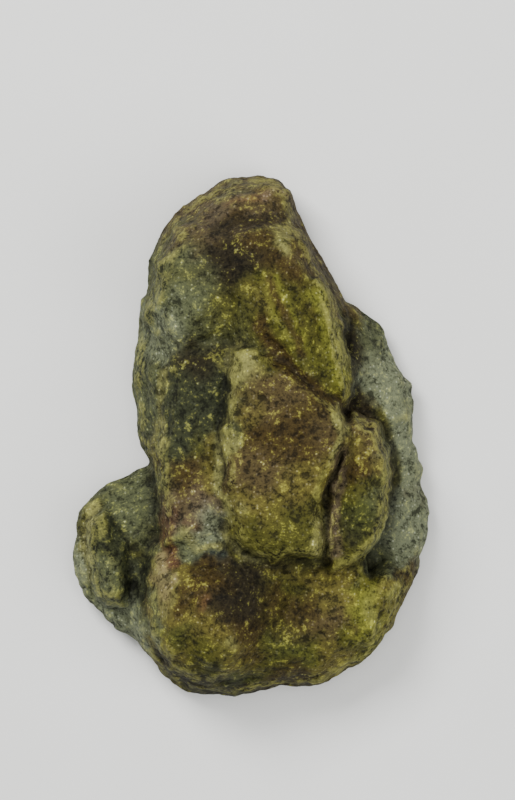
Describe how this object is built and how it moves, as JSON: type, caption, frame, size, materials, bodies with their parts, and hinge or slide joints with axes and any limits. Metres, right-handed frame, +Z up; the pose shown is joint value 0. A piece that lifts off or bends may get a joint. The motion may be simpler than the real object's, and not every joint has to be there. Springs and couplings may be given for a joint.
{
  "type": "hide a key rock",
  "caption": "Hollow artificial rock that hides spare keys: a cast shell closed underneath by a base plate with a key box and a sliding door.",
  "frame": {"origin": "on the ground, under the middle of the rock's outline", "axes": "+Z up out of the rock's rounded face, +Y along its length towards the narrow end, +X to the right as seen from above with the narrow end away from the viewer"},
  "size_m": [0.1, 0.146, 0.0483],
  "materials": {
    "cast_stone": "cast and painted polyresin, granular and matt, mottled olive, umber, grey-green and rust",
    "base_plastic": "fine moulded texture",
    "gasket_foam": "closed-cell foam sheet, die cut",
    "box_plastic": "plain moulded",
    "pad_foam": "open-cell foam sheet, die cut",
    "door_plastic": "fine moulded texture",
    "screw_steel": "zinc-plated, dull",
    "anchor_nylon": "natural nylon, plain moulded"
  },
  "bodies": {
    "rock": {"rock_shell": "cast_stone", "base_plate": "base_plastic", "base_gasket": "gasket_foam", "key_box": "box_plastic", "key_pad": "pad_foam", "base_screws": "screw_steel", "screw_anchors": "anchor_nylon"},
    "door": {"sliding_door": "door_plastic"}
  },
  "joints": [
    {"name": "door_slide", "type": "slide", "parent": "rock", "child": "door", "axis": [0, -1, 0], "range_m": [0, 0.058]}
  ]
}
